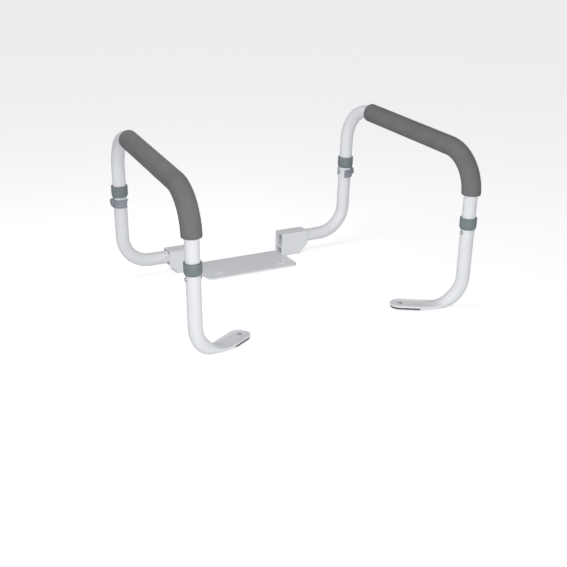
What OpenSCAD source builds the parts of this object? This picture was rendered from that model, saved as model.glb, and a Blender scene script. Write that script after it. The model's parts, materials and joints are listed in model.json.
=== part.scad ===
// Toilet safety frame: two padded arms on a bracket held by the toilet seat's own bolts.
// +X is the right-hand side seen from in front, -Y is the front, +Z is up.
// The origin is midway between the two seat bolts, on the rim and deck plane.

/* [Tubes] */
// Outside diameter of every visible tube
tube_od = 25.4; // [24:0.1:27]
// Wall of the tubes
tube_wall = 1.4; // [1.2:0.1:1.6]
// Radial running clearance of the sliding legs
leg_gap = 0.08; // [0.05:0.01:0.1]
// Outside diameter of the foam grips
grip_od = 36; // [32:0.5:40]

/* [Arms] */
// Distance between the rear leg centres at the height of the rear tubes
rear_leg_spacing = 491; // [470:1:520]
// Distance from rear leg to front leg within one arm
leg_spacing = 399.5; // [380:0.5:420]
// Angle by which each arm opens towards the front
toe_out = 3.65; // [2:0.05:5]
// Outward lean of the legs
leg_lean = 1.7; // [1:0.1:2.5]
// Height of the rear top corner above the rear tubes
rear_rise = 270.7; // [250:0.1:300]
// Height of the front top corner above the rear tubes
front_rise = 257.1; // [240:0.1:290]
// Centreline radius of the two top bends
top_bend_r = 74; // [65:1:80]
// Height of the front end of the grip above the rear tubes
grip_end_rise = 185; // [178:1:195]

/* [Height adjustment] */
// Pitch of the holes in the sliding legs
hole_pitch = 10; // [9.5:0.5:10]
// Number of height positions
height_positions = 7; // [5:1:7]
// Height of the rear collars above the rear tubes
rear_collar_rise = 148.5; // [146:0.5:152]
// Height of the front collars above the rear tubes
front_collar_rise = 131; // [128:0.5:136]

/* [Lower tubes] */
// Height of the rear tubes above the deck
rear_tube_height = 32.5; // [30:0.5:36]
// Distance of the rear tubes behind the seat bolts
rear_tube_back = 58; // [54:1:64]
// Centreline radius of the rear lower bends
rear_bend_r = 56; // [50:1:57]
// Centreline radius of the front lower bends
front_bend_r = 55; // [50:1:58]
// Plan angle of the front lower bend, towards the rear
foot_tube_angle = 19; // [12:1:24]
// Plan angle of the flattened foot, towards the rear
paddle_angle = 32; // [28:1:36]
// Length of the flat part of the foot
paddle_length = 58; // [50:1:66]
// Thickness of the rubber pad under the foot
foot_pad_thickness = 3; // [2:0.5:4]

/* [Bracket] */
// Spacing of the two seat bolt slots
bolt_spacing = 139.7; // [135:0.1:145]
// Width of a seat bolt slot
bolt_slot_width = 11; // [9:0.5:13]
// Length of a seat bolt slot
bolt_slot_length = 25; // [20:1:30]
// Thickness of the mounting plate
plate_thickness = 3; // [2.5:0.5:4]
// Distance of each socket mouth from the middle
socket_mouth = 155.5; // [150:0.5:160]
// Length of each square socket
socket_length = 60; // [55:1:64]
// Outward travel of each arm for width adjustment
width_travel = 25.4; // [15:0.1:25.4]

/* [Hidden] */

$fn = 64;
hull_fn = 32;
eps = 0.01;
// How far a cutter runs past the face it starts from
over_cut = 1;

tube_r = tube_od / 2;
bore_r = tube_r - tube_wall;
bend_lap = 0.3;
bend_inset = 0.02;
leg_r = bore_r - leg_gap;
leg_bore_r = leg_r - tube_wall;

// Collar: sits on the lower tube's end, and the hoop's shoulder nests in its mouth
collar_height = 22;
collar_r = 15.7;
collar_foot_r = 14;
collar_foot_height = 4;
collar_nest = 6;
collar_web = 3;
collar_grip_gap = 0.05;
shoulder_above_collar = collar_height / 2 - collar_nest;
shoulder_thickness = 3;

// Spring buttons of the front legs
button_r = 3.3;
button_hole_r = 3.65;
button_stand = 3.6;
button_below_collar = 6.5;
button_drop = collar_height / 2 + button_below_collar;
leaf_thickness = 0.8;
leaf_width = 5.5;
leaf_face = 8.2;
leaf_top_margin = 4.5;
leaf_side_gap = 0.5;
leaf_slot = 1.6;
leaf_eye_r = 1;
leaf_eye_play = 0.05;
leaf_eye_depth = 2;
plug_height = 9;
plug_squeeze_gap = 0.02;

// Clips of the rear legs
clip_height = 16;
clip_gap_below_collar = 4;
clip_thickness = 2.8;
clip_arm = 9;
clip_drop = collar_height / 2 + clip_gap_below_collar + clip_height / 2;
clip_boss_r = 7.6;
clip_boss_stand = 2.7;
clip_boss_root = 1.5;
clip_cap = 1.5;
clip_play = 0.05;
pin_r = 3;
pin_hole_r = 3.25;
pin_above_clip_centre = 2.5;
pin_tip = 3;
pin_drop = clip_drop - pin_above_clip_centre;

// Sliding legs of the hoop, measured down from the shoulder, with nylon glides in their ends
height_travel = (height_positions - 1) * hole_pitch;
leg_tail = 4.3;
leg_length = pin_drop + shoulder_above_collar + height_travel + leg_tail;
glide_lip = 2;
glide_sleeve = 8;
glide_bore_r = 9.3;
glide_fit = 0.01;
glide_to_plug = 1.5;

// The plug in the front tube stands just below the glide of the lowered leg
plug_top = front_collar_rise + shoulder_above_collar - leg_length - glide_lip - glide_to_plug;
leaf_pivot = plug_top - leaf_eye_depth;

// Square socket round each rear tube, with its riser, nut and screw
socket_wall = 1.5;
socket_play = 0.1;
socket_side = tube_od + 2 * (socket_play + socket_wall);
socket_inner_end = socket_mouth - socket_length;
tube_setback = 7;
tube_inner_end = socket_inner_end + tube_setback;
riser_wall = 2.5;
riser_foot = 15;
screw_x = socket_mouth - 25;
screw_r = 3;
screw_play = 0.05;
screw_slot_r = 3.5;
screw_bite = 1.1;
nut_across_corners_r = 5.77;
nut_height = 5;
knob_r = 9;
knob_height = 9;
knob_gap = 2;
screw_in_knob = 6;
rivet_head_r = 4;
rivet_head_height = 1.6;
rivet_sink = 0.6;
rivet_dimple_r = 1.2;
rivet_dimple_depth = 0.8;
rivet_from_mouth = 5;
rivet_elevation = 35;

// Plate outline
plate_front = -20;
plate_half_width = 100;
plate_corner_r = 12;

// Flattened foot
paddle_thickness = 2 * tube_wall;
paddle_width = PI * (tube_r - tube_wall / 2) + tube_wall;
paddle_middle = foot_pad_thickness + paddle_thickness / 2;
foot_blend_length = 20;
blend_lap = 1;
blend_inset = 0.1;
foot_straight = 2;
pad_margin = 1;

rear_x = rear_leg_spacing / 2;
arm_base = [rear_x, rear_tube_back, rear_tube_height];
front_offset = leg_spacing * [sin(toe_out), -cos(toe_out)];

// Foot tube: it leaves the bend level, so its tilt undoes the lean of the leg
foot_tilt = atan(tan(leg_lean) * cos(foot_tube_angle));
foot_corner = (paddle_middle - rear_tube_height + front_offset.x * sin(leg_lean)) / cos(leg_lean);
foot_bend_cut = front_bend_r * tan((90 - foot_tilt) / 2);
foot_run = foot_bend_cut + foot_straight;
foot_local = [-foot_run * cos(foot_tilt), 0, foot_corner - foot_run * sin(foot_tilt)];
foot_end = leaned(turned(foot_local, -foot_tube_angle) + [front_offset.x, front_offset.y, 0]);
foot_heading = leaned_vector(turned([-cos(foot_tilt), 0, -sin(foot_tilt)], -foot_tube_angle));
foot_plan_angle = atan2(foot_heading.y, -foot_heading.x);

// A point turned about Z
function turned(p, a) = [p.x * cos(a) - p.y * sin(a), p.x * sin(a) + p.y * cos(a), p.z];
// A direction in the leaned frame of an arm, given in the object's frame
function leaned_vector(p) = [p.x * cos(leg_lean) + p.z * sin(leg_lean), p.y,
    -p.x * sin(leg_lean) + p.z * cos(leg_lean)];
// A point in the leaned frame of an arm, given in the object's frame
function leaned(p) = arm_base + leaned_vector(p);

function heading(a, b) = atan2(b.y - a.y, b.x - a.x);
function wrapped(a) = a > 180 ? a - 360 : a < -180 ? a + 360 : a;
function corner_turn(p, i) = wrapped(heading(p[i], p[i + 1]) - heading(p[i - 1], p[i]));
function corner_cut(p, i, r) = i == 0 || i == len(p) - 1 ? 0 : r * tan(abs(corner_turn(p, i)) / 2);

// Bends a tube along a flat path with rounded corners. Each straight laps a little over the bend
// beside it, and the wall of a bend is a hair thinner, so that the two never share a surface.
module along(p, r, outer, inner) {
    for (i = [0 : len(p) - 2]) {
        start = corner_cut(p, i, r);
        finish = corner_cut(p, i + 1, r);
        lap_in = start > 0 ? bend_lap : 0;
        lap_out = finish > 0 ? bend_lap : 0;
        translate([p[i].x, p[i].y, 0])
            rotate([0, 0, heading(p[i], p[i + 1])])
                translate([start - lap_in, 0, 0])
                    rotate([90, 0, 90])
                        linear_extrude(norm(p[i + 1] - p[i]) - start - finish + lap_in + lap_out)
                            ring(outer, inner);
    }
    if (len(p) > 2) {
        for (i = [1 : len(p) - 2]) {
            turn = corner_turn(p, i);
            way_in = heading(p[i - 1], p[i]);
            side = sign(turn);
            centre = p[i] - corner_cut(p, i, r) * [cos(way_in), sin(way_in)]
                + side * r * [-sin(way_in), cos(way_in)];
            translate([centre.x, centre.y, 0])
                rotate([0, 0, side > 0 ? way_in - 90 : way_in + 90 + turn])
                    rotate_extrude(angle = abs(turn))
                        translate([r, 0])
                            ring(outer - bend_inset, inner + bend_inset);
        }
    }
}

module ring(outer, inner) {
    difference() {
        circle(r = outer);
        circle(r = inner);
    }
}

// Frames: right side as drawn, left side mirrored
module on_side(side) {
    if (side == "left") {
        mirror([1, 0, 0])
            children();
    } else {
        children();
    }
}

// Frame of the rear leg, with Z along the leg
module at_rear_leg() {
    translate(arm_base)
        rotate([0, leg_lean, 0])
            children();
}

// Frame of the front leg, with Z along the leg
module at_front_leg() {
    at_rear_leg()
        translate([front_offset.x, front_offset.y, 0])
            children();
}

// A bar through a leg from side to side, at height h
module cross_bar(r, h, half = tube_od) {
    translate([0, 0, h])
        rotate([0, 90, 0])
            cylinder(h = 2 * half, r = r, center = true);
}

// ---- Bracket ----

module rounded_plate(x0, x1, y0, y1, r) {
    translate([x0, y0 + r])
        square([x1 - x0, y1 - y0 - 2 * r]);
    translate([x0 + r, y0])
        square([x1 - x0 - 2 * r, y1 - y0]);
    for (x = [x0 + r, x1 - r], y = [y0 + r, y1 - r])
        translate([x, y])
            circle(r = r);
}

module bolt_slot() {
    end = (bolt_slot_length - bolt_slot_width) / 2;
    for (x = [-end, end])
        translate([x, 0])
            circle(r = bolt_slot_width / 2);
    square([2 * end, bolt_slot_width], center = true);
}

module mounting_plate() {
    strap_half = socket_mouth - riser_foot;
    back = rear_tube_back + socket_side / 2;
    color("white")
        linear_extrude(plate_thickness)
            difference() {
                union() {
                    rounded_plate(-plate_half_width, plate_half_width, plate_front, back, plate_corner_r);
                    translate([-strap_half, back - socket_side])
                        square([2 * strap_half, socket_side]);
                }
                for (x = [-bolt_spacing / 2, bolt_spacing / 2])
                    translate([x, 0])
                        bolt_slot();
            }
}

// Folded channel that lifts the socket off the plate, with a sloping outer end
module riser(side) {
    top = rear_tube_height - socket_side / 2;
    foot = socket_mouth - riser_foot;
    color("white")
        on_side(side)
            translate([0, rear_tube_back + socket_side / 2, 0])
                rotate([90, 0, 0])
                    difference() {
                        linear_extrude(socket_side)
                            polygon([[socket_inner_end, plate_thickness], [foot, plate_thickness],
                                [socket_mouth, top], [socket_inner_end, top]]);
                        translate([0, 0, riser_wall])
                            linear_extrude(socket_side - 2 * riser_wall)
                                polygon([[socket_inner_end - over_cut, plate_thickness - over_cut],
                                    [foot - riser_wall - over_cut, plate_thickness - over_cut],
                                    [socket_mouth - 2 * riser_wall, top - riser_wall],
                                    [socket_inner_end - over_cut, top - riser_wall]]);
                    }
}

module socket(side) {
    color("white")
        on_side(side)
            translate([socket_inner_end, rear_tube_back, rear_tube_height])
                difference() {
                    rotate([90, 0, 90])
                        linear_extrude(socket_length)
                            difference() {
                                square(socket_side, center = true);
                                square(socket_side - 2 * socket_wall, center = true);
                            }
                    translate([screw_x - socket_inner_end, socket_side / 2, 0])
                        rotate([90, 0, 0])
                            cylinder(h = 4 * socket_wall, r = screw_r + screw_play, center = true);
                }
}

// Puts its child on the rear face of a socket, with Z pointing out of the face
module at_width_screw(side) {
    on_side(side)
        translate([screw_x, rear_tube_back + socket_side / 2, rear_tube_height])
            rotate([-90, 0, 0])
                children();
}

module weld_nuts() {
    color("silver")
        for (side = ["left", "right"])
            at_width_screw(side)
                difference() {
                    cylinder(h = nut_height, r = nut_across_corners_r, $fn = 6);
                    translate([0, 0, -over_cut])
                        cylinder(h = nut_height + 2 * over_cut, r = screw_r + screw_play);
                }
}

// Steel screw; its tip runs in the slot of the rear tube
module width_screw(side) {
    tip = socket_side / 2 - tube_r + screw_bite;
    color("silver")
        at_width_screw(side)
            translate([0, 0, -tip])
                cylinder(h = tip + nut_height + knob_gap + screw_in_knob, r = screw_r);
}

// Fluted plastic knob moulded on the screw's head
module width_knob(side) {
    flute_count = 8;
    flute_r = 2.2;
    flute_out = 1;
    color("dimgray")
        at_width_screw(side)
            translate([0, 0, nut_height + knob_gap])
                difference() {
                    cylinder(h = knob_height, r = knob_r);
                    translate([0, 0, -over_cut])
                        cylinder(h = screw_in_knob + over_cut, r = screw_r);
                    for (i = [0 : flute_count - 1])
                        rotate([0, 0, i * 360 / flute_count])
                            translate([knob_r + flute_out, 0, -over_cut])
                                cylinder(h = knob_height + 2 * over_cut, r = flute_r);
                }
}

// ---- Lower tubes ----

module rear_tube(side) {
    top = rear_collar_rise + shoulder_above_collar - collar_web;
    path = [[tube_inner_end - rear_x, 0], [0, 0], top * [sin(leg_lean), cos(leg_lean)]];
    color("white")
        on_side(side)
            difference() {
                translate(arm_base)
                    rotate([90, 0, 0])
                        along(path, rear_bend_r, tube_r, bore_r);
                at_rear_leg()
                    cross_bar(pin_hole_r, rear_collar_rise - pin_drop);
                width_slot();
            }
}

// Slot in the back of a rear tube, in which the width screw's tip runs
module width_slot() {
    translate([screw_x, rear_tube_back + tube_r, rear_tube_height])
        rotate([90, 0, 0]) {
            for (x = [-width_travel, 0])
                translate([x, 0, 0])
                    cylinder(h = tube_r, r = screw_slot_r, center = true);
            translate([-width_travel / 2, 0, 0])
                cube([width_travel, 2 * screw_slot_r, tube_r], center = true);
        }
}

module front_tube(side) {
    top = front_collar_rise + shoulder_above_collar - collar_web;
    path = [[foot_local.x, foot_local.z], [0, foot_corner], [0, top]];
    color("white")
        on_side(side)
            difference() {
                union() {
                    at_front_leg()
                        rotate([0, 0, -foot_tube_angle])
                            rotate([90, 0, 0])
                                along(path, front_bend_r, tube_r, bore_r);
                    foot_blend();
                    paddle(0, paddle_width, paddle_middle - paddle_thickness / 2, paddle_thickness);
                }
                at_front_leg()
                    cross_bar(button_hole_r, front_collar_rise - button_drop);
                foot_hole(paddle_middle);
            }
}

// Where the tube is pressed from round to flat; both ends lap into their neighbours
module foot_blend() {
    hull() {
        translate(foot_end)
            rotate([0, 0, -foot_plan_angle])
                rotate([0, -90, 0])
                    translate([0, 0, -blend_lap])
                        linear_extrude(eps)
                            circle(r = tube_r - blend_inset, $fn = hull_fn);
        at_paddle()
            translate([-blend_lap, -paddle_width / 2 + blend_inset, -paddle_thickness / 2 + blend_inset])
                cube([eps, paddle_width - 2 * blend_inset, paddle_thickness - 2 * blend_inset]);
    }
}

// Frame at the start of the flat part, with -X along the foot
module at_paddle() {
    middle = (foot_plan_angle + paddle_angle) / 2;
    translate([foot_end.x, foot_end.y, paddle_middle]
        + foot_blend_length * [-cos(middle), sin(middle), 0])
        rotate([0, 0, -paddle_angle])
            children();
}

// Flat foot with a round tip, from a start distance and between two heights
module paddle(start, width, low, thick) {
    at_paddle()
        translate([0, 0, low - paddle_middle])
            linear_extrude(thick) {
                translate([-paddle_length + width / 2, -width / 2])
                    square([paddle_length - width / 2 - start, width]);
                translate([-paddle_length + width / 2, 0])
                    circle(r = width / 2);
            }
}

// Hole for the foot's rivet, round a given height
module foot_hole(middle) {
    rivet_hole_r = 2.55;
    at_paddle()
        translate([-paddle_length + paddle_width / 2, 0, middle - paddle_middle])
            cylinder(h = 3 * foot_pad_thickness, r = rivet_hole_r, center = true);
}

module foot_pad(side) {
    color("dimgray")
        on_side(side)
            difference() {
                paddle(pad_margin, paddle_width - 2 * pad_margin, 0, foot_pad_thickness);
                foot_hole(foot_pad_thickness / 2);
            }
}

// Rivet that holds each rubber pad, sunk in the pad and headed on top of the foot
module foot_rivet(side) {
    shank_r = 2.5;
    head_r = 4.5;
    head_top_r = 3.2;
    head = 1.2;
    sunk = 1;
    color("silver")
        on_side(side)
            at_paddle()
                translate([-paddle_length + paddle_width / 2, 0, -paddle_thickness / 2]) {
                    translate([0, 0, paddle_thickness])
                        cylinder(h = head, r1 = head_r, r2 = head_top_r);
                    translate([0, 0, sunk - foot_pad_thickness])
                        cylinder(h = paddle_thickness + foot_pad_thickness - sunk, r = shank_r);
                }
}

// Dimpled rivet through the upper side of each rear tube, just outside the socket
module stop_rivet(side) {
    color("white")
        on_side(side)
            translate([socket_mouth + rivet_from_mouth, rear_tube_back, rear_tube_height])
                rotate([90 - rivet_elevation, 0, 0])
                    difference() {
                        translate([0, 0, tube_r - rivet_sink])
                            cylinder(h = rivet_head_height + rivet_sink, r = rivet_head_r);
                        rotate([0, 90, 0])
                            cylinder(h = 4 * rivet_head_r, r = tube_r, center = true);
                        translate([0, 0, tube_r + rivet_head_height - rivet_dimple_depth])
                            cylinder(h = rivet_dimple_depth + over_cut, r = rivet_dimple_r);
                    }
}

// ---- Collars ----

// Outer sleeve with a chamfered mouth, and a web inside that rests on the end of the lower tube
module collar() {
    bottom = -collar_height / 2;
    top = collar_height / 2;
    web_top = top - collar_nest;
    web_bottom = web_top - collar_web;
    grip_r = tube_r + collar_grip_gap;
    lip_gap = 0.3;
    lip_r = tube_r + lip_gap;
    edge = 0.8;
    rotate_extrude()
        polygon([[grip_r, bottom], [collar_foot_r, bottom], [collar_r, bottom + collar_foot_height],
            [collar_r, top - edge], [collar_r - edge, top], [lip_r, top], [lip_r, web_top],
            [bore_r, web_top], [bore_r, web_bottom], [grip_r, web_bottom]]);
}

module rear_collar(side) {
    color("slategray")
        on_side(side)
            at_rear_leg()
                translate([0, 0, rear_collar_rise])
                    collar();
}

module front_collar(side) {
    color("slategray")
        on_side(side)
            at_front_leg()
                translate([0, 0, front_collar_rise])
                    collar();
}

// ---- Spring buttons ----

// Plug in the front tube, with a round seat and a slot above it for the foot of each leaf
module spring_anchor(side) {
    seat_width = leaf_width + 2 * leaf_side_gap;
    color("gainsboro")
        on_side(side)
            at_front_leg()
                difference() {
                    translate([0, 0, plug_top - plug_height])
                        cylinder(h = plug_height, r = bore_r - plug_squeeze_gap);
                    for (way = [-1, 1]) {
                        leaf_eye(way, leaf_eye_r + leaf_eye_play, seat_width);
                        leaf_strip(way, leaf_slot, seat_width, plug_top + over_cut);
                    }
                }
}

// Round eye rolled at the foot of a leaf, lying from front to back
module leaf_eye(way, r, width) {
    translate([way * (leaf_face - leaf_thickness / 2), 0, leaf_pivot])
        rotate([90, 0, 0])
            cylinder(h = width, r = r, center = true);
}

// Flat strip standing on the eye up to a given height
module leaf_strip(way, thickness, width, top) {
    translate([way * (leaf_face - leaf_thickness / 2) - thickness / 2, -width / 2, leaf_pivot])
        cube([thickness, width, top - leaf_pivot]);
}

module leaf(side, way) {
    color("lightgray")
        on_side(side)
            at_front_leg() {
                leaf_eye(way, leaf_eye_r, leaf_width);
                leaf_strip(way, leaf_thickness, leaf_width,
                    front_collar_rise - button_drop + leaf_top_margin);
            }
}

// Domed button standing on the face of its leaf and passing through both tube walls
module button(side, way) {
    tip = tube_r + button_stand;
    dome = button_r;
    color("goldenrod")
        on_side(side)
            at_front_leg()
                translate([0, 0, front_collar_rise - button_drop])
                    rotate([0, way * 90, 0])
                        rotate_extrude()
                            intersection() {
                                union() {
                                    translate([0, leaf_face])
                                        square([button_r, tip - dome - leaf_face]);
                                    translate([0, tip - dome])
                                        circle(r = dome);
                                }
                                translate([0, leaf_face])
                                    square([2 * button_r, 2 * tip]);
                            }
}

// ---- Rear clips ----

// Saddle with two straight arms over the rear tube, and a boss that holds the pin
module clip(side) {
    inside = tube_r + clip_play;
    outside = inside + clip_thickness;
    color("slategray")
        on_side(side)
            at_rear_leg()
                translate([0, 0, rear_collar_rise - clip_drop])
                    difference() {
                        union() {
                            translate([0, 0, -clip_height / 2])
                                linear_extrude(clip_height)
                                    difference() {
                                        union() {
                                            circle(r = outside);
                                            translate([-clip_arm, -outside])
                                                square([clip_arm, 2 * outside]);
                                        }
                                        circle(r = inside);
                                        translate([-2 * outside, -inside])
                                            square([2 * outside, 2 * inside]);
                                        translate([-2 * outside - clip_arm, -2 * outside])
                                            square([2 * outside, 4 * outside]);
                                    }
                            translate([outside - clip_boss_root, 0, pin_above_clip_centre])
                                rotate([0, 90, 0])
                                    cylinder(h = clip_boss_stand + clip_boss_root, r = clip_boss_r);
                        }
                        translate([0, 0, pin_above_clip_centre])
                            rotate([0, 90, 0])
                                cylinder(h = outside + clip_boss_stand - clip_cap, r = pin_r);
                    }
}

// Pin moulded into the clip's boss, through both walls of tube and leg
module clip_pin(side) {
    head_end = tube_r + clip_play + clip_thickness + clip_boss_stand - clip_cap;
    chamfer = 1;
    color("silver")
        on_side(side)
            at_rear_leg()
                translate([-tube_r - pin_tip, 0, rear_collar_rise - pin_drop])
                    rotate([0, 90, 0]) {
                        cylinder(h = chamfer, r1 = pin_r - chamfer, r2 = pin_r);
                        translate([0, 0, chamfer])
                            cylinder(h = head_end + tube_r + pin_tip - chamfer, r = pin_r);
                    }
}

// ---- Arms ----

// Lays a path of forward and upward distances in the plane of an arm
module in_arm_plane(side) {
    on_side(side)
        at_rear_leg()
            rotate([0, 0, toe_out])
                rotate([90, 0, -90])
                    children();
}

// Bent upper tube with a shoulder and a reduced sliding leg at each end
module hoop(side) {
    rear_end = rear_collar_rise + shoulder_above_collar;
    front_end = front_collar_rise + shoulder_above_collar;
    color("white")
        difference() {
            in_arm_plane(side) {
                along([[0, rear_end + shoulder_thickness], [0, rear_rise], [leg_spacing, front_rise],
                    [leg_spacing, front_end + shoulder_thickness]], top_bend_r, tube_r, bore_r);
                swaged_end(0, rear_end);
                swaged_end(leg_spacing, front_end);
            }
            on_side(side) {
                at_rear_leg()
                    hole_row(pin_hole_r, rear_collar_rise - pin_drop);
                at_front_leg()
                    hole_row(button_hole_r, front_collar_rise - button_drop);
            }
        }
}

// Shoulder and reduced sliding leg, in the arm plane
module swaged_end(x, end) {
    translate([x, end, 0])
        rotate([-90, 0, 0]) {
            linear_extrude(shoulder_thickness)
                ring(tube_r, leg_bore_r);
            translate([0, 0, -leg_length])
                linear_extrude(leg_length)
                    ring(leg_r, leg_bore_r);
        }
}

// Cross holes for every height position, counted down from the lowest one in use
module hole_row(r, first) {
    for (i = [0 : height_positions - 1])
        cross_bar(r, first - i * hole_pitch);
}

// Foam sleeve over the top of the hoop, down round its front bend
module grip(side) {
    start_cut = top_bend_r * tan((90 + atan((rear_rise - front_rise) / leg_spacing)) / 2);
    slope = (front_rise - rear_rise) / leg_spacing;
    color("dimgray")
        in_arm_plane(side)
            along([[start_cut, rear_rise + slope * start_cut], [leg_spacing, front_rise],
                [leg_spacing, grip_end_rise]], top_bend_r, grip_od / 2, tube_r + collar_grip_gap);
}

// Nylon rings in the ends of both sliding legs, drilled where a leg's lowest hole crosses them
module leg_glides(side) {
    color("gainsboro")
        on_side(side) {
            at_rear_leg()
                leg_glide(rear_collar_rise, pin_hole_r, pin_drop);
            at_front_leg()
                leg_glide(front_collar_rise, button_hole_r, button_drop);
        }
}

module leg_glide(collar_rise, hole_r, hole_drop) {
    end = collar_rise + shoulder_above_collar - leg_length;
    difference() {
        union() {
            translate([0, 0, end - glide_lip])
                linear_extrude(glide_lip)
                    ring(leg_r, glide_bore_r);
            translate([0, 0, end])
                linear_extrude(glide_sleeve)
                    ring(leg_bore_r - glide_fit, glide_bore_r);
        }
        cross_bar(hole_r, collar_rise - hole_drop - height_travel);
    }
}

mounting_plate();
riser("left");  // left_riser
riser("right");  // right_riser
socket("left");  // left_socket
socket("right");  // right_socket
weld_nuts();
width_screw("left");  // left_width_screw
width_screw("right");  // right_width_screw
width_knob("left");  // left_width_knob
width_knob("right");  // right_width_knob
rear_tube("left");  // left_rear_tube
rear_tube("right");  // right_rear_tube
front_tube("left");  // left_front_tube
front_tube("right");  // right_front_tube
rear_collar("left");  // left_rear_collar
rear_collar("right");  // right_rear_collar
front_collar("left");  // left_front_collar
front_collar("right");  // right_front_collar
foot_pad("left");  // left_foot_pad
foot_pad("right");  // right_foot_pad
foot_rivet("left");  // left_foot_rivet
foot_rivet("right");  // right_foot_rivet
stop_rivet("left");  // left_stop_rivet
stop_rivet("right");  // right_stop_rivet
spring_anchor("left");  // left_spring_anchor
spring_anchor("right");  // right_spring_anchor
button("left", 1);  // left_button_outer
button("right", 1);  // right_button_outer
button("left", -1);  // left_button_inner
button("right", -1);  // right_button_inner
leaf("left", 1);  // left_leaf_outer
leaf("right", 1);  // right_leaf_outer
leaf("left", -1);  // left_leaf_inner
leaf("right", -1);  // right_leaf_inner
clip("left");  // left_clip
clip("right");  // right_clip
clip_pin("left");  // left_clip_pin
clip_pin("right");  // right_clip_pin
hoop("left");  // left_hoop
hoop("right");  // right_hoop
grip("left");  // left_grip
grip("right");  // right_grip
leg_glides("left");  // left_leg_glides
leg_glides("right");  // right_leg_glides
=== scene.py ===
import json
import math

import bmesh
import bpy
from mathutils import Matrix, Vector, noise


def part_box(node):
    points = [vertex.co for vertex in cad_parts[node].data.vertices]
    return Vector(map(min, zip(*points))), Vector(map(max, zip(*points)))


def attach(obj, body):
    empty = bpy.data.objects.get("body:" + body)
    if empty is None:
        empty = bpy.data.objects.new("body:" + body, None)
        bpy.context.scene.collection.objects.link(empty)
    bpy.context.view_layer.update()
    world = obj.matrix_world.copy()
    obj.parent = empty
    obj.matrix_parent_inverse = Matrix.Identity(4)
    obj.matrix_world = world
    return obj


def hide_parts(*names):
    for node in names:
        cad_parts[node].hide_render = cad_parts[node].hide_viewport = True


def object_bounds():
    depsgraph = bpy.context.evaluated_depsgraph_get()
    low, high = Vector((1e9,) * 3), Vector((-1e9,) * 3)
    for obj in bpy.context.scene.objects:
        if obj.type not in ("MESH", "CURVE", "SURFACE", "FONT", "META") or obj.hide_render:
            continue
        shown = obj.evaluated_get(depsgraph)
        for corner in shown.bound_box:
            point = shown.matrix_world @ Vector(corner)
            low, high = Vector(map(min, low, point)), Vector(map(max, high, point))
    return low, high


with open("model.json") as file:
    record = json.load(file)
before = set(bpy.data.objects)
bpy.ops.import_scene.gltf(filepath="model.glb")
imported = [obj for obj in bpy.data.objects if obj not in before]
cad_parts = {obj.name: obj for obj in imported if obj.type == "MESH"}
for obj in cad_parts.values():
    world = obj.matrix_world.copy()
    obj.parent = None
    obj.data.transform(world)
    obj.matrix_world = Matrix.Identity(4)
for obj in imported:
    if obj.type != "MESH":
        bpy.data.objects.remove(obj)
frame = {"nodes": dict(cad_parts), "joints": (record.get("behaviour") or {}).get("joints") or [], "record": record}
cad_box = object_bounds()

# The looks of a toilet safety frame: two padded arms on a bracket under the toilet seat.
# Every length is in metres. Each paired piece is made for the right side, and mirrored for the left.

SIDES = ("left", "right")
RING_POINTS = 96
MILLIMETRE = 0.001
# Radius that stands for a point on the axis of a turned solid
AXIS_R = 0.02 * MILLIMETRE
# Angles along a rounded edge
QUARTER = [math.pi / 2 * k / 5 for k in range(6)]

# ---- Places taken from the frame ----

JOINT_AXIS = {joint["name"]: Vector(joint["axis"]).normalized() for joint in frame["joints"]}


def centre(node):
    low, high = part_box(node)
    return (low + high) / 2


UP = JOINT_AXIS["right_height"]
OUT = JOINT_AXIS["right_clip_pull"]
REAR_COLLAR = centre("right_rear_collar")
FRONT_COLLAR = centre("right_front_collar")
TO_FRONT = (FRONT_COLLAR - REAR_COLLAR) - (FRONT_COLLAR - REAR_COLLAR).dot(UP) * UP
LEG_SPACING = TO_FRONT.length
FORWARD = TO_FRONT.normalized()

# ---- Driving dimensions, as in the CAD source ----

TUBE_R = 12.7 * MILLIMETRE
TUBE_BORE_R = 11.3 * MILLIMETRE
REAR_COLLAR_RISE = 148.5 * MILLIMETRE
REAR_CORNER_RISE = 270.7 * MILLIMETRE
FRONT_CORNER_RISE = 257.1 * MILLIMETRE
TOP_BEND_R = 74 * MILLIMETRE
GRIP_END_RISE = 185 * MILLIMETRE
GRIP_R = 18 * MILLIMETRE
GRIP_END_R = 1.8 * MILLIMETRE
GRIP_UNEVEN = 0.13 * MILLIMETRE
GRIP_CLOUDS = 28
CREASE_DEPTH = 0.2 * MILLIMETRE
CREASE_PITCH = 7 * MILLIMETRE
FRONT_BEND_R = 55 * MILLIMETRE
FOOT_TUBE_TURN = math.radians(19)
PADDLE_TURN = math.radians(32)
PADDLE_LENGTH = 58 * MILLIMETRE
PADDLE_WIDTH = 39.1 * MILLIMETRE
PADDLE_THICKNESS = 2.8 * MILLIMETRE
PAD_THICKNESS = 3 * MILLIMETRE
FOOT_STRAIGHT = 2 * MILLIMETRE
FOOT_BLEND = 20 * MILLIMETRE
COLLAR_HEIGHT = 22 * MILLIMETRE
COLLAR_R = 15.7 * MILLIMETRE
COLLAR_NEST = 6 * MILLIMETRE
COLLAR_WEB = 3 * MILLIMETRE
BUTTON_HOLE_R = 3.65 * MILLIMETRE
PRESS_START = 46 * MILLIMETRE
FOLD_R = 2.2 * MILLIMETRE
CLIP_HEIGHT = 16 * MILLIMETRE
CLIP_WALL = 2.8 * MILLIMETRE
CLIP_ARM = 9 * MILLIMETRE
CLIP_BOSS_R = 7.6 * MILLIMETRE
CLIP_BOSS_STAND = 2.7 * MILLIMETRE
CLIP_EDGE_R = 0.9 * MILLIMETRE
PIN_ABOVE_CLIP_CENTRE = 2.5 * MILLIMETRE

ARM_BASE = REAR_COLLAR - REAR_COLLAR_RISE * UP


# ---- Mesh tools ----


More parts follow.
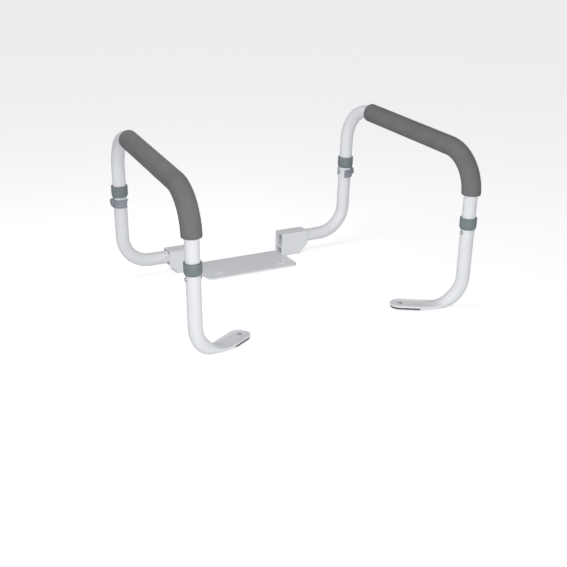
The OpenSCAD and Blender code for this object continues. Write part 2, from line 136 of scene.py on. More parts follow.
def circle(radius, count=RING_POINTS):
    """Points (across, up) round a circle."""
    turns = [2 * math.pi * k / count for k in range(count)]
    return [(radius * math.cos(t), radius * math.sin(t)) for t in turns]


def ring_at(place, across, up, outline):
    return [place + across * u + up * v for u, v in outline]


def loft(rings, cyclic=False):
    """Vertices and faces of a skin over rings of equal count; its ends are capped unless it is cyclic."""
    count = len(rings[0])
    verts = [point for ring in rings for point in ring]
    faces = []
    spans = len(rings) if cyclic else len(rings) - 1
    for i in range(spans):
        a = i * count
        b = (i + 1) % len(rings) * count
        for k in range(count):
            n = (k + 1) % count
            faces.append((a + k, a + n, b + n, b + k))
    if not cyclic:
        last = (len(rings) - 1) * count
        faces.append(tuple(range(count)))
        faces.append(tuple(last + k for k in reversed(range(count))))
    return verts, faces


def bent_path(corners, radius, step):
    """Places and directions along straights joined by bends of one radius."""
    stations = []
    start = corners[0]
    for i in range(1, len(corners)):
        way = (corners[i] - corners[i - 1]).normalized()
        is_last = i == len(corners) - 1
        turn = 0 if is_last else way.angle(corners[i + 1] - corners[i])
        finish = corners[i] - way * radius * math.tan(turn / 2)
        count = max(2, round((finish - start).length / step))
        stations += [(start.lerp(finish, k / count), way) for k in range(count)]
        if is_last:
            stations.append((finish, way))
            break
        next_way = (corners[i + 1] - corners[i]).normalized()
        inward = (next_way - way * way.dot(next_way)).normalized()
        bend_centre = finish + inward * radius
        count = max(2, round(radius * turn / step))
        for k in range(count):
            a = turn * k / count
            place = bend_centre + (way * math.sin(a) - inward * math.cos(a)) * radius
            stations.append((place, way * math.cos(a) + inward * math.sin(a)))
        start = corners[i] + next_way * radius * math.tan(turn / 2)
    return stations


def filleted(corners, steps=5):
    """A closed outline of (x, y, fillet radius) corners, with each corner rounded by an arc."""
    outline = []
    for i, (x, y, radius) in enumerate(corners):
        here = Vector((x, y))
        before = (Vector(corners[i - 1][:2]) - here).normalized()
        after = (Vector(corners[(i + 1) % len(corners)][:2]) - here).normalized()
        if radius == 0:
            outline.append(here)
            continue
        half = before.angle(after) / 2
        middle = here + (before + after).normalized() * radius / math.sin(half)
        first = here + before * radius / math.tan(half) - middle
        last = here + after * radius / math.tan(half) - middle
        swing = first.angle_signed(last)
        for k in range(steps + 1):
            outline.append(middle + Matrix.Rotation(-swing * k / steps, 2) @ first)
    return outline


def turned_solid(place, axis, profile, count=RING_POINTS):
    """Rings of a solid of revolution; its profile is a closed outline of (radius, height)."""
    across = axis.orthogonal().normalized()
    other = axis.cross(across)
    return [
        ring_at(place + axis * height, across, other, circle(radius, count)) for radius, height in profile
    ]


def smoothstep(x):
    x = min(max(x, 0.0), 1.0)
    return x * x * (3 - 2 * x)


def link(name, mesh):
    obj = bpy.data.objects.new(name, mesh)
    bpy.context.scene.collection.objects.link(obj)
    return obj


def solid(name, verts, faces):
    """An object with outward normals."""
    mesh = bpy.data.meshes.new(name)
    mesh.from_pydata(verts, [], faces)
    bm = bmesh.new()
    bm.from_mesh(mesh)
    bmesh.ops.recalc_face_normals(bm, faces=bm.faces)
    bm.to_mesh(mesh)
    bm.free()
    return link(name, mesh)


def apply_modifiers(obj):
    graph = bpy.context.evaluated_depsgraph_get()
    made = bpy.data.meshes.new_from_object(obj.evaluated_get(graph))
    obj.modifiers.clear()
    obj.data = made


def combine(obj, other, operation):
    """Joins or cuts obj with a closed solid, which is then removed."""
    step = obj.modifiers.new(operation, "BOOLEAN")
    step.operation = operation
    step.solver = "EXACT"
    step.object = other
    bpy.context.view_layer.update()
    apply_modifiers(obj)
    bpy.data.objects.remove(other)


def drill(obj, place, axis, radius):
    """Cuts a round hole right through obj."""
    hole_points = 48
    reach = 2 * TUBE_R
    across = axis.orthogonal().normalized()
    outline = circle(radius, hole_points)
    rings = [ring_at(place + axis * x, across, axis.cross(across), outline) for x in (-reach, reach)]
    combine(obj, solid("drill", *loft(rings)), "DIFFERENCE")


def finish_piece(obj, side, body, slot, stands_for=None, sharp=40):
    """Mirrors a right-hand piece where needed, gives it its shading, material and body, and hides the CAD node it
    stands for.
    """
    mesh = obj.data
    if side == "left":
        mesh.transform(Matrix.Diagonal((-1, 1, 1, 1)))
        mesh.flip_normals()
    mesh.polygons.foreach_set("use_smooth", [True] * len(mesh.polygons))
    mesh.set_sharp_from_angle(angle=math.radians(sharp))
    mesh.materials.clear()
    mesh.materials.append(MATERIALS[slot])
    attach(obj, body)
    if stands_for:
        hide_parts(stands_for)


# ---- Materials ----


class Shader:
    """A Principled material built from object-space textures, with rounded edges in its normal."""

    def __init__(self, name, roughness, metallic=0.0, edge=0.3 * MILLIMETRE):
        self.material = bpy.data.materials.new(name)
        self.material.use_nodes = True
        self.nodes = self.material.node_tree.nodes
        self.links = self.material.node_tree.links
        self.surface = self.nodes["Principled BSDF"]
        self.surface.inputs["Roughness"].default_value = roughness
        self.surface.inputs["Metallic"].default_value = metallic
        self.place = self.nodes.new("ShaderNodeTexCoord").outputs["Object"]
        rounded = self.nodes.new("ShaderNodeBevel")
        rounded.samples = 4
        rounded.inputs["Radius"].default_value = edge
        self.normal = rounded.outputs["Normal"]

    def noise(self, scale, detail=3.0, stretch=(1, 1, 1)):
        mapping = self.nodes.new("ShaderNodeMapping")
        mapping.inputs["Scale"].default_value = stretch
        self.links.new(self.place, mapping.inputs["Vector"])
        texture = self.nodes.new("ShaderNodeTexNoise")
        texture.inputs["Scale"].default_value = scale
        texture.inputs["Detail"].default_value = detail
        self.links.new(mapping.outputs["Vector"], texture.inputs["Vector"])
        return texture.outputs["Fac"]

    def cells(self, scale):
        texture = self.nodes.new("ShaderNodeTexVoronoi")
        texture.inputs["Scale"].default_value = scale
        self.links.new(self.place, texture.inputs["Vector"])
        return texture.outputs["Distance"]

    def ramp(self, factor, low, high, start=0.3, end=0.7):
        """Colour from low to high as the factor goes from start to end."""
        ramp = self.nodes.new("ShaderNodeValToRGB")
        ramp.color_ramp.elements[0].position = start
        ramp.color_ramp.elements[0].color = (*low, 1)
        ramp.color_ramp.elements[1].position = end
        ramp.color_ramp.elements[1].color = (*high, 1)
        self.links.new(factor, ramp.inputs["Fac"])
        return ramp.outputs["Color"]

    def multiply(self, first, second, share=1.0):
        """First colour, darkened by the share of the second."""
        mix = self.nodes.new("ShaderNodeMix")
        mix.data_type = "RGBA"
        mix.blend_type = "MULTIPLY"
        mix.inputs["Factor"].default_value = share
        self.links.new(first, mix.inputs[6])
        self.links.new(second, mix.inputs[7])
        return mix.outputs[2]

    def colour(self, source):
        self.links.new(source, self.surface.inputs["Base Color"])

    def roughen(self, factor, low, high):
        """Roughness from low to high over the middle of the factor's range."""
        scale = self.nodes.new("ShaderNodeMapRange")
        scale.inputs["From Min"].default_value = 0.3
        scale.inputs["From Max"].default_value = 0.7
        scale.inputs["To Min"].default_value = low
        scale.inputs["To Max"].default_value = high
        self.links.new(factor, scale.inputs["Value"])
        self.links.new(scale.outputs["Result"], self.surface.inputs["Roughness"])

    def relief(self, height, depth, strength=1.0):
        """Adds a bump of a height texture to the normal."""
        bump = self.nodes.new("ShaderNodeBump")
        bump.inputs["Strength"].default_value = strength
        bump.inputs["Distance"].default_value = depth
        self.links.new(height, bump.inputs["Height"])
        self.links.new(self.normal, bump.inputs["Normal"])
        self.normal = bump.outputs["Normal"]

    def done(self):
        self.links.new(self.normal, self.surface.inputs["Normal"])
        return self.material


def powder_coat():
    """White polyester powder on steel, satin gloss with a fine orange peel."""
    shader = Shader("powder_coat", 0.35)
    shader.colour(shader.ramp(shader.noise(9), (0.80, 0.815, 0.835), (0.845, 0.855, 0.87)))
    shader.roughen(shader.noise(70), 0.30, 0.40)
    shader.relief(shader.noise(420, 2), 0.04 * MILLIMETRE, 0.25)
    shader.surface.inputs["Coat Weight"].default_value = 0.12
    shader.surface.inputs["Coat Roughness"].default_value = 0.2
    return shader.done()


def moulded(name, low, high, roughness, grain):
    """Moulded plastic with slight flow marks and a fine spark texture."""
    shader = Shader(name, roughness)
    shader.colour(shader.ramp(shader.noise(60, 4, (1, 1, 2.5)), low, high))
    shader.roughen(shader.noise(150), roughness - 0.05, roughness + 0.08)
    shader.relief(shader.noise(grain, 2), 0.04 * MILLIMETRE, 0.3)
    return shader.done()


def foam():
    """Skinned closed-cell foam: dull, with fine pores darkened by painted shade, and faint cloudy patches."""
    shader = Shader("grip_foam", 0.85)
    clouds = shader.ramp(shader.noise(22, 4), (0.155, 0.157, 0.159), (0.186, 0.188, 0.190))
    # Painted shade: the colour is darkened in the middle of each pore, where the bump sinks a pit
    pore_shade = shader.ramp(shader.cells(1500), (0.72, 0.72, 0.72), (1, 1, 1), 0.05, 0.45)
    shader.colour(shader.multiply(clouds, pore_shade, 0.7))
    shader.roughen(shader.noise(260), 0.78, 0.92)
    shader.relief(shader.cells(1500), 0.12 * MILLIMETRE, 0.35)
    shader.relief(shader.noise(180, 3), 0.25 * MILLIMETRE, 0.25)
    return shader.done()


def rubber():
    shader = Shader("pad_rubber", 0.7)
    shader.colour(shader.ramp(shader.noise(80, 4), (0.045, 0.045, 0.048), (0.07, 0.07, 0.073)))
    shader.roughen(shader.noise(200), 0.6, 0.78)
    shader.relief(shader.noise(900, 2), 0.05 * MILLIMETRE, 0.4)
    return shader.done()


def metal(name, low, high, roughness, stretch=(1, 1, 1)):
    """Bare or plated metal with drawn streaks and small stains."""
    shader = Shader(name, roughness, 1.0, 0.2 * MILLIMETRE)
    shader.colour(shader.ramp(shader.noise(120, 5), low, high))
    shader.roughen(shader.noise(500, 3, stretch), roughness - 0.08, roughness + 0.12)
    shader.relief(shader.noise(900, 2, stretch), 0.02 * MILLIMETRE, 0.3)
    return shader.done()


MATERIALS = {
    "powder_coat": powder_coat(),
    "collar_nylon": moulded("collar_nylon", (0.172, 0.209, 0.218), (0.210, 0.247, 0.256), 0.42, 1400),
    "clip_nylon": moulded("clip_nylon", (0.262, 0.286, 0.330), (0.304, 0.328, 0.372), 0.42, 1400),
    "natural_nylon": moulded("natural_nylon", (0.70, 0.69, 0.64), (0.78, 0.77, 0.72), 0.45, 1200),
    "knob_plastic": moulded("knob_plastic", (0.030, 0.032, 0.035), (0.045, 0.047, 0.050), 0.5, 1100),
    "grip_foam": foam(),
    "pad_rubber": rubber(),
    "button_steel": metal("button_steel", (0.50, 0.485, 0.45), (0.66, 0.64, 0.60), 0.38),
    "spring_steel": metal("spring_steel", (0.42, 0.43, 0.45), (0.55, 0.56, 0.58), 0.4, (1, 1, 0.1)),
    "zinc_steel": metal("zinc_steel", (0.55, 0.56, 0.58), (0.68, 0.69, 0.71), 0.4),
}


def paint_frame():
    """Every CAD node takes the material of its slot in the record."""
    for part in frame["record"]["subparts"]:
        node = frame["nodes"][part["node"]]
        node.data.materials.clear()
        node.data.materials.append(MATERIALS[part["material_slot"]])


# ---- Foam grips ----


def arm_point(forward, rise):
    """A point in the plane of the right arm."""
    return ARM_BASE + FORWARD * forward + UP * rise


def grip_path():
    top_way = (arm_point(LEG_SPACING, FRONT_CORNER_RISE) - arm_point(0, REAR_CORNER_RISE)).normalized()
    turn = UP.angle(top_way)
    rear_end = arm_point(0, REAR_CORNER_RISE) + top_way * TOP_BEND_R * math.tan(turn / 2)
    corners = [rear_end, arm_point(LEG_SPACING, FRONT_CORNER_RISE), arm_point(LEG_SPACING, GRIP_END_RISE)]
    return bent_path(corners, TOP_BEND_R, 2 * MILLIMETRE)


def grip_section(place, way, inset, crease):
    """Points round the slightly uneven foam, pressed in by a crease on the inside of its bend."""
    across = FORWARD.cross(UP)
    inward = way.cross(across)
    points = []
    for u, v in circle(1.0):
        direction = across * u + inward * v
        radius = GRIP_R - inset
        radius -= GRIP_UNEVEN * (1 + noise.noise((place + direction * radius) * GRIP_CLOUDS))
        radius -= crease * max(0.0, v) ** 2
        points.append(place + direction * radius)
    return points


def grip(side):
    """A foam sleeve pushed over the tube, with soft round ends and faint creases inside its bend."""
    end_steps = 6
    fade = 40 * MILLIMETRE
    bore = TUBE_R + 0.05 * MILLIMETRE
    stations = grip_path()
    travelled = [0.0]
    for before, after in zip(stations, stations[1:]):
        travelled.append(travelled[-1] + (after[0] - before[0]).length)
    length = travelled[-1]
    bend_start = length - TOP_BEND_R * math.pi / 2
    quarter = [math.pi / 2 * k / end_steps for k in range(end_steps)]
    rear_place, rear_way = stations[0]
    front_place, front_way = stations[-1]
    outer = []
    for a in quarter:
        place = rear_place + rear_way * GRIP_END_R * (1 - math.cos(a))
        outer.append(grip_section(place, rear_way, GRIP_END_R * (1 - math.sin(a)), 0))
    for (place, way), along in zip(stations, travelled):
        if GRIP_END_R < along < length - GRIP_END_R:
            in_bend = smoothstep((along - bend_start) / fade) * smoothstep((length - along) / fade)
            wave = 1 + math.sin(2 * math.pi * along / CREASE_PITCH)
            outer.append(grip_section(place, way, 0, CREASE_DEPTH * in_bend * wave))
    for a in reversed(quarter):
        place = front_place - front_way * GRIP_END_R * (1 - math.cos(a))
        outer.append(grip_section(place, front_way, GRIP_END_R * (1 - math.sin(a)), 0))
    across = FORWARD.cross(UP)
    inner = [ring_at(place, across, way.cross(across), circle(bore)) for place, way in reversed(stations)]
    obj = solid(f"{side}_foam_grip", *loft(outer + inner, cyclic=True))
    finish_piece(obj, side, f"{side}_arm", "grip_foam", f"{side}_grip", 50)


# ---- Front tubes with flattened feet ----


def flat_outline(half_width, edge_r, count=RING_POINTS):
    """Points round a flattened tube: flat below, with its folded edges standing a little above the middle."""
    fold_width = 2.2 * edge_r
    straight = 2 * (half_width - edge_r)
    arc = math.pi * edge_r
    total = 2 * (straight + arc)
    rise = edge_r - PADDLE_THICKNESS / 2
    outline = []
    for k in range(count):
        s = total * k / count
        if s < arc / 2 or s >= total - arc / 2:
            a = (s if s < arc / 2 else s - total) / edge_r
            u, v = half_width - edge_r + edge_r * math.cos(a), edge_r * math.sin(a)
        elif s < arc / 2 + straight:
            u, v = half_width - edge_r - (s - arc / 2), edge_r
        elif s < arc * 1.5 + straight:
            a = math.pi / 2 + (s - arc / 2 - straight) / edge_r
            u, v = -(half_width - edge_r) + edge_r * math.cos(a), edge_r * math.sin(a)
        else:
            u, v = -(half_width - edge_r) + (s - arc * 1.5 - straight), -edge_r
        inside = smoothstep((half_width - edge_r - abs(u)) / fold_width)
        dip = 2 * rise * inside if v > 0 else 0
        outline.append((u, v + rise - dip))
    return outline


def pressed_outline(press, to_tip=1.0):
    """Section of the front tube, from round (press 0) to flat (press 1), narrowing near the tip."""
    least_half_width = 1.02 * FOLD_R
    least_lift = 0.15
    half_width = PADDLE_WIDTH / 2
    if to_tip < half_width:
        half_width = max(least_half_width, math.sqrt(half_width**2 - (half_width - to_tip) ** 2))
    lift = 1.0
    if to_tip < FOLD_R:
        lift = max(least_lift, math.sqrt(1 - (1 - to_tip / FOLD_R) ** 2))
    pairs = zip(circle(TUBE_R), flat_outline(half_width, FOLD_R))
    return [
        (a[0] * (1 - press) + b[0] * press, (a[1] * (1 - press) + b[1] * press) * lift)
        for a, b in pairs
    ]


def foot_path():
    """Corner, end and heading of the right front tube's level part, and the normal of its bend."""
    middle = PAD_THICKNESS + PADDLE_THICKNESS / 2
    rearward = UP.cross(OUT)
    inward = rearward * math.sin(FOOT_TUBE_TURN) - OUT * math.cos(FOOT_TUBE_TURN)
    bend_normal = inward.cross(UP)
    heading = Vector((0, 0, 1)).cross(bend_normal).normalized()
    corner = FRONT_COLLAR - UP * ((FRONT_COLLAR.z - middle) / UP.z)
    turn = (-UP).angle(heading)
    end = corner + heading * (FRONT_BEND_R * math.tan(turn / 2) + FOOT_STRAIGHT)
    return corner, end, heading, bend_normal


def paddle_stations(end, heading, step):
    """Places, headings and distances from the end of the round tube to the tip of the foot."""
    start_turn = math.atan2(heading.y, -heading.x)
    stations = []
    place = end.copy()
    total = FOOT_BLEND + PADDLE_LENGTH
    count = round(total / step)
    for k in range(count + 1):
        along = total * k / count
        turn = start_turn + (PADDLE_TURN - start_turn) * smoothstep(along / FOOT_BLEND)
        way = Vector((-math.cos(turn), math.sin(turn), 0))
        if k:
            place = place + way * total / count
        stations.append((place, way, along))
    return stations


def front_tube(side):
    """The front lower tube: round leg, bend, and an end pressed flat with folded edges."""
    bore_ends_at = 0.2
    tube_step = 2.5 * MILLIMETRE
    foot_step = 1 * MILLIMETRE
    corner, end, heading, bend_normal = foot_path()
    top = FRONT_COLLAR + UP * (COLLAR_HEIGHT / 2 - COLLAR_NEST - COLLAR_WEB)
    stations = bent_path([top, corner, end], FRONT_BEND_R, tube_step)
    length = sum((b[0] - a[0]).length for a, b in zip(stations, stations[1:]))
    outer, inner = [], []
    along = -length
    before = stations[0][0]
    for place, way in stations:
        along += (place - before).length
        before = place
        up = bend_normal.cross(way)
        press = smoothstep((along + PRESS_START) / (PRESS_START + FOOT_BLEND))
        outer.append(ring_at(place, bend_normal, up, pressed_outline(press)))
        if press < bore_ends_at:
            inner.append(ring_at(place, bend_normal, up, circle(TUBE_BORE_R * (1 - press))))
    for place, way, along in paddle_stations(end, heading, foot_step)[1:]:
        across = way.cross(Vector((0, 0, 1)))
        press = smoothstep((along + PRESS_START) / (PRESS_START + FOOT_BLEND))
        outline = pressed_outline(press, FOOT_BLEND + PADDLE_LENGTH - along)
        outer.append(ring_at(place, across, Vector((0, 0, 1)), outline))
    obj = solid(f"{side}_pressed_front_tube", *loft(list(reversed(outer)) + inner))
    hole_height = (centre("right_button_outer") - FRONT_COLLAR).dot(UP)
    drill(obj, FRONT_COLLAR + UP * hole_height, OUT, BUTTON_HOLE_R)
    finish_piece(obj, side, f"{side}_lower", "powder_coat", f"{side}_front_tube", 35)


# ---- Foot pads ----


def foot_pad(side):
    """A rubber pad with round edges and shallow grooves across its sole."""
    edge = 0.7 * MILLIMETRE
    margin = 1.2 * MILLIMETRE
    groove_pitch = 5 * MILLIMETRE
    groove_depth = 0.7 * MILLIMETRE
    half_land_share = 0.3
    groove_wall_share = 0.1
    clearance = 0.02 * MILLIMETRE
    ring_step = 0.5 * MILLIMETRE
    end, heading = foot_path()[1:3]
    finish = FOOT_BLEND + PADDLE_LENGTH - margin
    rings = []
    for place, way, along in paddle_stations(end, heading, ring_step):
        if not FOOT_BLEND + margin <= along <= finish:
            continue
        from_end = min(along - FOOT_BLEND - margin, finish - along)
        round_end = edge - math.sqrt(max(0.0, edge**2 - max(0.0, edge - from_end) ** 2))
        half_width = PADDLE_WIDTH / 2 - margin
        to_tip = finish - along
        if to_tip < half_width:
            half_width = max(2 * edge, math.sqrt(half_width**2 - (half_width - to_tip) ** 2))
        phase = (along % groove_pitch) / groove_pitch
        groove = groove_depth * smoothstep((abs(phase - 0.5) - half_land_share) / groove_wall_share)
        low = round_end + (groove if from_end > groove_pitch / 2 else 0)
        high = PAD_THICKNESS - clearance - round_end
        corners = [
            (-half_width, low, edge), (half_width, low, edge),
            (half_width, high, edge), (-half_width, high, edge),
        ]
        floor_place = Vector((place.x, place.y, 0))
        rings.append(ring_at(floor_place, way.cross(Vector((0, 0, 1))), Vector((0, 0, 1)), filleted(corners)))
    obj = solid(f"{side}_ribbed_pad", *loft(rings))
    finish_piece(obj, side, f"{side}_lower", "pad_rubber", f"{side}_foot_pad", 50)


# ---- Collars and clips ----


def collar(side, end, place):
    """A moulded collar on top of a lower tube; the upper tube nests in its rim."""
    half = COLLAR_HEIGHT / 2
    lip = TUBE_R + 0.3 * MILLIMETRE
    bore = TUBE_R + 0.03 * MILLIMETRE
    taper = 1.6 * MILLIMETRE
    taper_height = 4.2 * MILLIMETRE
    draft = 0.1 * MILLIMETRE
    nest_floor = half - COLLAR_NEST
    web_bottom = nest_floor - COLLAR_WEB + 0.1 * MILLIMETRE
    # Radius, height and fillet of each corner
    profile = filleted([
        (bore, -half, 0.2 * MILLIMETRE),
        (COLLAR_R - taper, -half, 1.2 * MILLIMETRE),
        (COLLAR_R - draft, taper_height - half, 2.5 * MILLIMETRE),
        (COLLAR_R, half, 1.3 * MILLIMETRE),
        (lip, half, 0.5 * MILLIMETRE),
        (lip, nest_floor, 0.3 * MILLIMETRE),
        (TUBE_BORE_R, nest_floor, 0),
        (TUBE_BORE_R, web_bottom, 0),
        (bore, web_bottom, 0),
    ])
    rings = turned_solid(place, UP, profile)
    obj = solid(f"{side}_{end}_moulded_collar", *loft(rings, cyclic=True))
    finish_piece(obj, side, f"{side}_lower", "collar_nylon", f"{side}_{end}_collar")


def clip_outline(inset):
    """The saddle's plan: a half ring whose arms reach past the tube's middle, shrunk by an inset."""
    steps = 40
    tip_steps = 8
    bore = TUBE_R + 0.05 * MILLIMETRE
    inside = bore + inset
    outside = bore + CLIP_WALL - inset
    reach = -CLIP_ARM + inset
    arc = [math.pi * (k / steps - 0.5) for k in range(steps + 1)]
    outer = [(outside * math.cos(a), outside * math.sin(a)) for a in arc]
    inner = [(inside * math.cos(a), inside * math.sin(a)) for a in reversed(arc)]
    tip_r = (outside - inside) / 2
    tip_middle = (outside + inside) / 2
    turns = [math.pi * k / tip_steps for k in range(1, tip_steps)]
    top_tip = [(reach + tip_r - tip_r * math.sin(a), tip_middle + tip_r * math.cos(a)) for a in turns]
    low_tip = [(reach + tip_r - tip_r * math.sin(a), -tip_middle + tip_r * math.cos(a)) for a in turns]
    return outer + top_tip + inner + low_tip


def clip_saddle(name, place):
    """The half ring, with rounded rims and a slightly sunk band between them."""
    rim_width = 2.4 * MILLIMETRE
    band_step = 0.4 * MILLIMETRE
    band_depth = 0.3 * MILLIMETRE
    half = CLIP_HEIGHT / 2
    levels = [
        (half - CLIP_EDGE_R + CLIP_EDGE_R * math.cos(a), CLIP_EDGE_R * (1 - math.sin(a))) for a in QUARTER
    ]
    levels += [(half - rim_width, 0), (half - rim_width - band_step, band_depth)]
    levels += [(-height, inset) for height, inset in reversed(levels)]
    rearward = UP.cross(OUT)
    rings = [ring_at(place + UP * height, OUT, rearward, clip_outline(inset)) for height, inset in levels]
    return solid(name, *loft(rings))


def clip_boss(place):
    """The round boss round the cross pin, with a dimple in its face."""
    root = 1.5 * MILLIMETRE
    dimple_r = 4.6 * MILLIMETRE
    dimple_depth = 0.7 * MILLIMETRE
    inner_face = TUBE_R + CLIP_WALL - root
    outer_face = TUBE_R + CLIP_WALL + CLIP_BOSS_STAND
    edge = (CLIP_BOSS_R - CLIP_EDGE_R, outer_face - CLIP_EDGE_R)
    profile = [(AXIS_R, inner_face), (CLIP_BOSS_R, inner_face)]
    profile += [(edge[0] + CLIP_EDGE_R * math.cos(a), edge[1] + CLIP_EDGE_R * math.sin(a)) for a in QUARTER]
    profile += [
        (dimple_r, outer_face),
        (dimple_r - dimple_depth / 2, outer_face - dimple_depth),
        (AXIS_R, outer_face - dimple_depth),
    ]
    return solid("boss", *loft(turned_solid(place, OUT, profile)))


def clip(side):
    """The saddle that snaps round a rear leg and carries its cross pin in a boss."""
    pin_height = (centre("right_clip_pin") - REAR_COLLAR).dot(UP)
    place = REAR_COLLAR + UP * (pin_height - PIN_ABOVE_CLIP_CENTRE)
    saddle = clip_saddle(f"{side}_moulded_clip", place)
    combine(saddle, clip_boss(place + UP * PIN_ABOVE_CLIP_CENTRE), "UNION")
    finish_piece(saddle, side, f"{side}_clip_set", "clip_nylon", f"{side}_clip", 35)


# ---- Bracket ----


def knob(side):
    """A fluted knob with round edges, on the width screw."""
    flutes = 8
    flute_depth = 1.1 * MILLIMETRE
    chamfer = 0.6 * MILLIMETRE
    edge = 1.3 * MILLIMETRE
    dish = 0.7 * MILLIMETRE
    dish_rim = 0.45
    dish_wall = 0.5
    dish_floor = 0.8
    low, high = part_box("right_width_knob")
    place = Vector(((low.x + high.x) / 2, low.y, (low.z + high.z) / 2))
    radius = (high.z - low.z) / 2
    depth = high.y - low.y

    def outline(inset):
        points = []
        for k in range(RING_POINTS):
            a = 2 * math.pi * k / RING_POINTS
            flute = max(0.0, math.cos(flutes * a)) ** 2
            r = radius - inset - flute_depth * flute
            points.append((r * math.cos(a), r * math.sin(a)))
        return points

    quarter = [math.pi / 2 * k / 6 for k in range(7)]
    levels = [(0, chamfer), (chamfer, 0)]
    levels += [(depth - edge + edge * math.sin(a), edge * (1 - math.cos(a))) for a in quarter]
    levels += [(depth, radius * dish_rim)]
    levels += [(depth - dish, radius * dish_wall), (depth - dish, radius * dish_floor)]
    across, up = Vector((0, 0, 1)), Vector((1, 0, 0))
    rings = [ring_at(place + Vector((0, height, 0)), across, up, outline(inset)) for height, inset in levels]
    obj = solid(f"{side}_fluted_knob", *loft(rings))
    finish_piece(obj, side, f"{side}_width_lock", "knob_plastic", f"{side}_width_knob", 45)


def weld_bead(name, start, finish, first, second):
    """A rippled fillet weld; first and second point away from its corner, along the two faces."""
    leg = 2.4 * MILLIMETRE
    ripple = 0.18 * MILLIMETRE
    ripple_pitch = 1.7 * MILLIMETRE
    step = 0.35 * MILLIMETRE
    buried = 0.3 * MILLIMETRE
    unevenness = 0.12
    start_seed_scale = 40
    lump_scale = 300
    end_fullness = 0.02
    hollow = 1.4
    arc_points = 9
    length = (finish - start).length
    count = round(length / step)
    rings = []
    for k in range(count + 1):
        along = length * k / count
        end_taper = math.sqrt(smoothstep(min(along, length - along) / leg + end_fullness))
        size = (leg + ripple * math.sin(2 * math.pi * along / ripple_pitch)) * end_taper
        lump = noise.noise(start * start_seed_scale + Vector((along * lump_scale, 0, 0)))
        size *= 1 + unevenness * lump
        ring = []
        for j in range(arc_points):
            a = math.pi / 2 * j / (arc_points - 1)
            ring.append((size * math.cos(a) ** hollow, size * math.sin(a) ** hollow))
        ring.append((-buried, -buried))
        rings.append(ring_at(start.lerp(finish, k / count), first, second, ring))
    return solid(name, *loft(rings))


def bracket_welds(side):
    """The four short welds that hold a riser on the plate."""
    low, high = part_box("right_riser")
    weld_length = 16 * MILLIMETRE
    weld_starts = (4 * MILLIMETRE, 25 * MILLIMETRE)
    up, right, rear = Vector((0, 0, 1)), Vector((1, 0, 0)), Vector((0, 1, 0))
    beads = []
    for face, way in ((low.y, -rear), (high.y, rear)):
        for along in weld_starts:
            start = Vector((low.x + along, face, low.z))
            beads.append(weld_bead("bead", start, start + right * weld_length, way, up))
    joined = beads[0]
    for bead in beads[1:]:
        combine(joined, bead, "UNION")
    joined.name = f"{side}_riser_welds"
    finish_piece(joined, side, "bracket", "powder_coat", sharp=60)


# ---- Stage ----


def make_floor():
    """A wide pale floor under the lowest point of the finished object."""
    size = 30
    glow_strength = 0.56
    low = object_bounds()[0].z
    verts = [(-size, -size, low), (size, -size, low), (size, size, low), (-size, size, low)]
    floor = link("floor", bpy.data.meshes.new("floor"))
    floor.data.from_pydata(verts, [], [(0, 1, 2, 3)])
    paint = bpy.data.materials.new("pale_floor")
    paint.use_nodes = True
    nodes, links = paint.node_tree.nodes, paint.node_tree.links
    surface = nodes["Principled BSDF"]
    surface.inputs["Base Color"].default_value = (0.85, 0.85, 0.855, 1)
    surface.inputs["Roughness"].default_value = 0.9
    surface.inputs["Specular IOR Level"].default_value = 0.1
    surface.inputs["Emission Color"].default_value = (1, 1, 1, 1)
    glow = nodes.new("ShaderNodeMath")
    glow.operation = "MULTIPLY"
    glow.inputs[1].default_value = glow_strength
    links.new(nodes.new("ShaderNodeLightPath").outputs["Is Camera Ray"], glow.inputs[0])
    links.new(glow.outputs["Value"], surface.inputs["Emission Strength"])
    floor.data.materials.append(paint)


def soft_light(name, azimuth, elevation, distance, size, watts):
    """A square softbox aimed at the middle of the object. Azimuth 0 is in front, 90 to the right."""
    target = (cad_box[0] + cad_box[1]) / 2
    a, e = math.radians(azimuth), math.radians(elevation)
    way = Vector((math.sin(a) * math.cos(e), -math.cos(a) * math.cos(e), math.sin(e)))
    data = bpy.data.lights.new(name, "AREA")
    data.shape = "SQUARE"
    data.size = size
    data.energy = watts
    light = link(name, data)
    light.location = target + way * distance
    light.rotation_euler = way.to_track_quat("Z", "Y").to_euler()


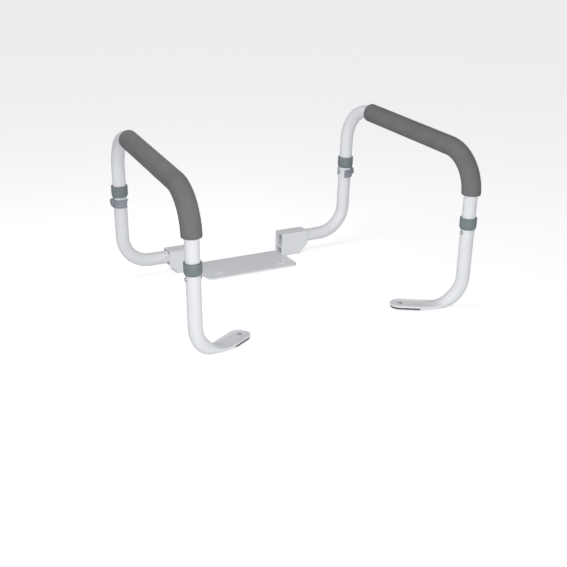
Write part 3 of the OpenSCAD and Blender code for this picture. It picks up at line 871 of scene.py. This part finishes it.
def light_scene():
    """Softboxes in front and to the left, and a sky that is brighter at the horizon than overhead.

    The camera itself sees a plain backdrop, as bright as the far floor.
    """
    soft_light("key_light", -16, 14, 1.9, 1.1, 15)
    soft_light("left_light", -78, 6, 2.2, 1.4, 8.5)
    soft_light("top_light", -90, 72, 0.8, 0.6, 2.2)
    world = bpy.data.worlds.new("studio")
    world.use_nodes = True
    nodes, links = world.node_tree.nodes, world.node_tree.links
    split = nodes.new("ShaderNodeSeparateXYZ")
    links.new(nodes.new("ShaderNodeTexCoord").outputs["Generated"], split.inputs["Vector"])
    ramp = nodes.new("ShaderNodeValToRGB")
    ramp.color_ramp.elements[0].position = 0.0
    ramp.color_ramp.elements[0].color = (0.50, 0.51, 0.53, 1)
    ramp.color_ramp.elements[1].position = 0.85
    ramp.color_ramp.elements[1].color = (0.26, 0.26, 0.265, 1)
    links.new(split.outputs["Z"], ramp.inputs["Fac"])
    links.new(ramp.outputs["Color"], nodes["Background"].inputs["Color"])
    backdrop = nodes.new("ShaderNodeBackground")
    backdrop.inputs["Color"].default_value = (0.86, 0.86, 0.865, 1)
    choice = nodes.new("ShaderNodeMixShader")
    links.new(nodes.new("ShaderNodeLightPath").outputs["Is Camera Ray"], choice.inputs["Fac"])
    links.new(nodes["Background"].outputs["Background"], choice.inputs[1])
    links.new(backdrop.outputs["Background"], choice.inputs[2])
    links.new(choice.outputs["Shader"], nodes["World Output"].inputs["Surface"])
    bpy.context.scene.world = world
    bpy.context.scene.view_settings.view_transform = "Standard"


def make_camera():
    """A long lens from the front left and above, as the object is usually shown."""
    place = (-1.0075, -2.0093, 0.8469)
    right_turn, look_down, roll = 28.36, 21.3, 1.03
    data = bpy.data.cameras.new("camera")
    data.sensor_width = 36
    data.lens = 75.76
    data.clip_end = 50
    camera = link("camera", data)
    camera.matrix_world = (
        Matrix.Translation(place)
        @ Matrix.Rotation(math.radians(-right_turn), 4, "Z")
        @ Matrix.Rotation(math.radians(90 - look_down), 4, "X")
        @ Matrix.Rotation(math.radians(roll), 4, "Z")
    )
    bpy.context.scene.camera = camera


paint_frame()
for side in SIDES:
    grip(side)
    front_tube(side)
    foot_pad(side)
    collar(side, "rear", REAR_COLLAR)
    collar(side, "front", FRONT_COLLAR)
    clip(side)
    knob(side)
    bracket_welds(side)
make_floor()
light_scene()
make_camera()
